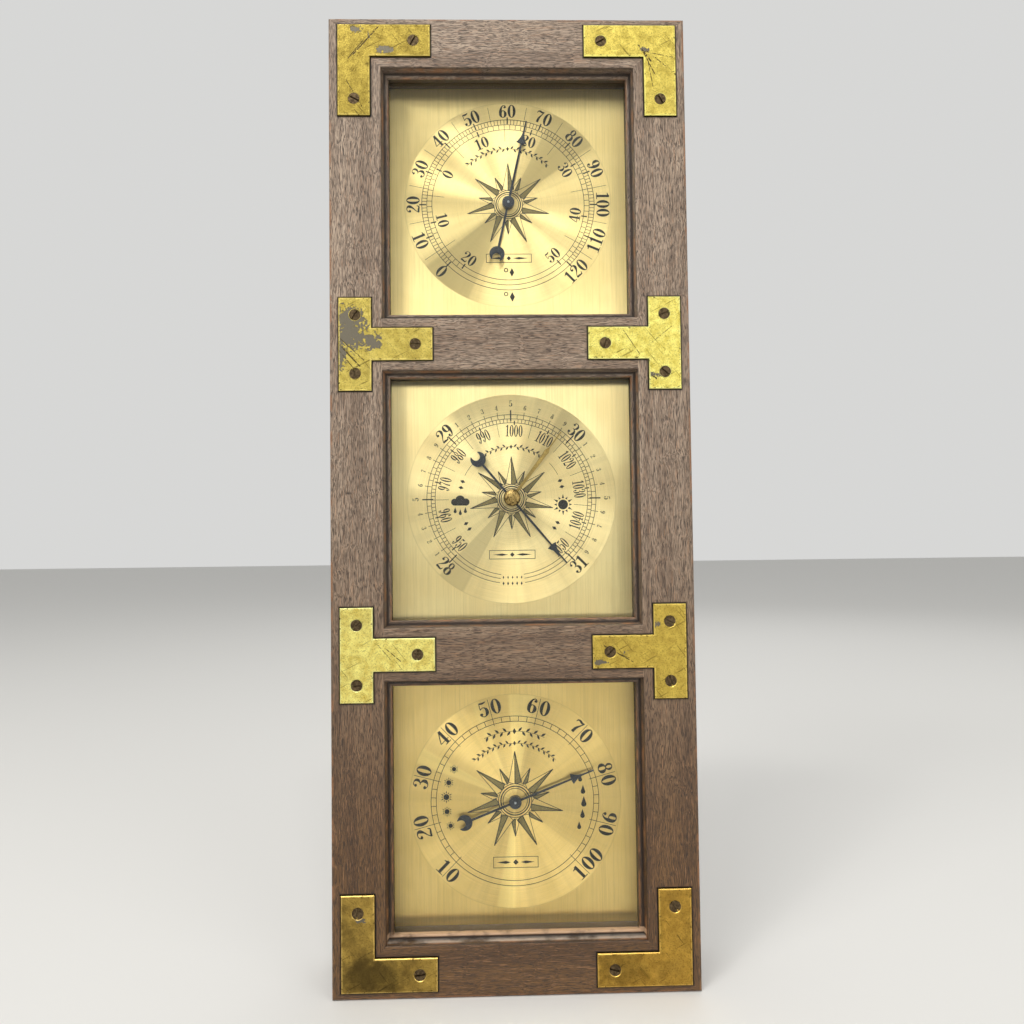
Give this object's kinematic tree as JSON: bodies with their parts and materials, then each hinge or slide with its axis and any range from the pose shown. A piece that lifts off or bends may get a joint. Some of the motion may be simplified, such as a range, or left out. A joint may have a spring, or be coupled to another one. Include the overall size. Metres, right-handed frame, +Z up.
{
  "type": "weather station",
  "caption": "Wall-hung weather station: thermometer, aneroid barometer and humidity meter behind glass in a moulded wooden frame with brass corner and tee plates.",
  "frame": {"origin": "centre of the keyhole's round hole, at the back of the case where the wall is", "axes": "+X to the right of someone facing the dials, +Y into the wall, +Z up"},
  "size_m": [0.178, 0.043, 0.48],
  "materials": {
    "frame_wood": "satin, open grain, worn at the edges",
    "dowel_wood": "bare",
    "plate_brass": "satin, scratched, tarnished towards the bottom",
    "dark_screws": "darkened",
    "zinc_steel": "zinc plated",
    "back_board": "smooth hardboard",
    "brass_screws": "satin",
    "window_glass": "clear",
    "spacer_card": "matte",
    "gold_dial": "gold anodised, brushed, with a spun disc",
    "clip_steel": "satin",
    "black_hands": "satin black",
    "steel_shafts": "ground",
    "movement_brass": "satin",
    "bracket_aluminium": "plain",
    "bimetal": "satin",
    "humidity_strip": "matte",
    "spring_steel": "blued",
    "capsule_metal": "satin, ribbed",
    "set_brass": "polished, worn"
  },
  "bodies": {
    "case": {"left_stile": "frame_wood", "right_stile": "frame_wood", "top_rail": "frame_wood", "upper_middle_rail": "frame_wood", "lower_middle_rail": "frame_wood", "bottom_rail": "frame_wood", "frame_dowels": "dowel_wood", "top_left_corner_plate": "plate_brass", "top_right_corner_plate": "plate_brass", "bottom_left_corner_plate": "plate_brass", "bottom_right_corner_plate": "plate_brass", "upper_left_tee_plate": "plate_brass", "upper_right_tee_plate": "plate_brass", "lower_left_tee_plate": "plate_brass", "lower_right_tee_plate": "plate_brass", "plate_screws": "dark_screws", "hanger_plate": "zinc_steel", "hanger_screws": "zinc_steel", "back_panel": "back_board", "back_panel_screws": "brass_screws", "thermometer_glass": "window_glass", "barometer_glass": "window_glass", "humidity_glass": "window_glass", "glass_spacers": "spacer_card", "thermometer_dial": "gold_dial", "barometer_dial": "gold_dial", "humidity_dial": "gold_dial", "dial_clips": "clip_steel", "thermometer_bush": "movement_brass", "thermometer_nut": "movement_brass", "thermometer_bracket": "bracket_aluminium", "thermometer_coil": "bimetal", "humidity_bush": "movement_brass", "humidity_nut": "movement_brass", "humidity_bracket": "bracket_aluminium", "humidity_coil": "humidity_strip", "hairspring": "spring_steel", "main_spring": "spring_steel", "capsule": "capsule_metal", "base_plate": "movement_brass", "base_pillars": "movement_brass", "movement_front_plate": "movement_brass", "movement_rear_plate": "movement_brass", "movement_pillars": "movement_brass", "set_bush": "set_brass"},
    "thermometer_pointer": {"thermometer_hand": "black_hands", "thermometer_arbor": "steel_shafts"},
    "thermometer_calibrator": {"thermometer_adjuster": "movement_brass"},
    "humidity_pointer": {"humidity_hand": "black_hands", "humidity_arbor": "steel_shafts"},
    "humidity_calibrator": {"humidity_adjuster": "movement_brass"},
    "barometer_pointer": {"barometer_hand": "black_hands", "barometer_arbor": "movement_brass"},
    "barometer_sector": {"sector_gear": "movement_brass"},
    "barometer_rocker": {"rocker": "steel_shafts"},
    "barometer_lever": {"main_lever": "movement_brass"},
    "barometer_adjusting_screw": {"capsule_screw": "movement_brass"},
    "set_pointer": {"set_hand": "set_brass", "set_knob": "set_brass"}
  },
  "joints": [
    {"name": "thermometer_reading", "type": "hinge", "parent": "case", "child": "thermometer_pointer", "pos_m": [0, -0.0295, -0.076], "axis": [0, 1, 0], "range_deg": [-147.8, 122.2], "deforming": ["thermometer_coil"]},
    {"name": "thermometer_calibration", "type": "hinge", "parent": "case", "child": "thermometer_calibrator", "pos_m": [0, -0.0117, -0.076], "axis": [0, 1, 0], "range_deg": [-20, 20]},
    {"name": "humidity_reading", "type": "hinge", "parent": "case", "child": "humidity_pointer", "pos_m": [0, -0.0295, -0.38], "axis": [0, 1, 0], "range_deg": [-204, 66], "deforming": ["humidity_coil"]},
    {"name": "humidity_calibration", "type": "hinge", "parent": "case", "child": "humidity_calibrator", "pos_m": [0, -0.0117, -0.38], "axis": [0, 1, 0], "range_deg": [-20, 20]},
    {"name": "barometer_reading", "type": "hinge", "parent": "case", "child": "barometer_pointer", "pos_m": [0, -0.0295, -0.228], "axis": [0, 1, 0], "range_deg": [-275, 10], "deforming": ["hairspring", "capsule", "main_spring"]},
    {"name": "sector_turn", "type": "hinge", "parent": "case", "child": "barometer_sector", "pos_m": [0, -0.0224, -0.264], "axis": [0, 1, 0], "range_deg": [-1.3, 34.5]},
    {"name": "rocker_turn", "type": "hinge", "parent": "case", "child": "barometer_rocker", "pos_m": [-0.0014, -0.014, -0.264], "axis": [0, 0, 1], "range_deg": [-34.5, 1.3]},
    {"name": "lever_swing", "type": "hinge", "parent": "case", "child": "barometer_lever", "pos_m": [0, -0.01245, -0.171], "axis": [1, 0, 0], "range_deg": [-1.45, 0.06]},
    {"name": "adjusting_screw_turn", "type": "hinge", "parent": "case", "child": "barometer_adjusting_screw", "pos_m": [0, -0.0079, -0.2], "axis": [0, 1, 0], "range_deg": [-270, 270]},
    {"name": "set_hand_turn", "type": "hinge", "parent": "case", "child": "set_pointer", "pos_m": [0, -0.033, -0.228], "axis": [0, 1, 0], "continuous": true}
  ],
  "couplings": [
    {"joint": "sector_turn", "follows": "barometer_reading", "ratio": -0.125},
    {"joint": "rocker_turn", "follows": "barometer_reading", "ratio": 0.125},
    {"joint": "lever_swing", "follows": "barometer_reading", "ratio": 0.0051948}
  ]
}
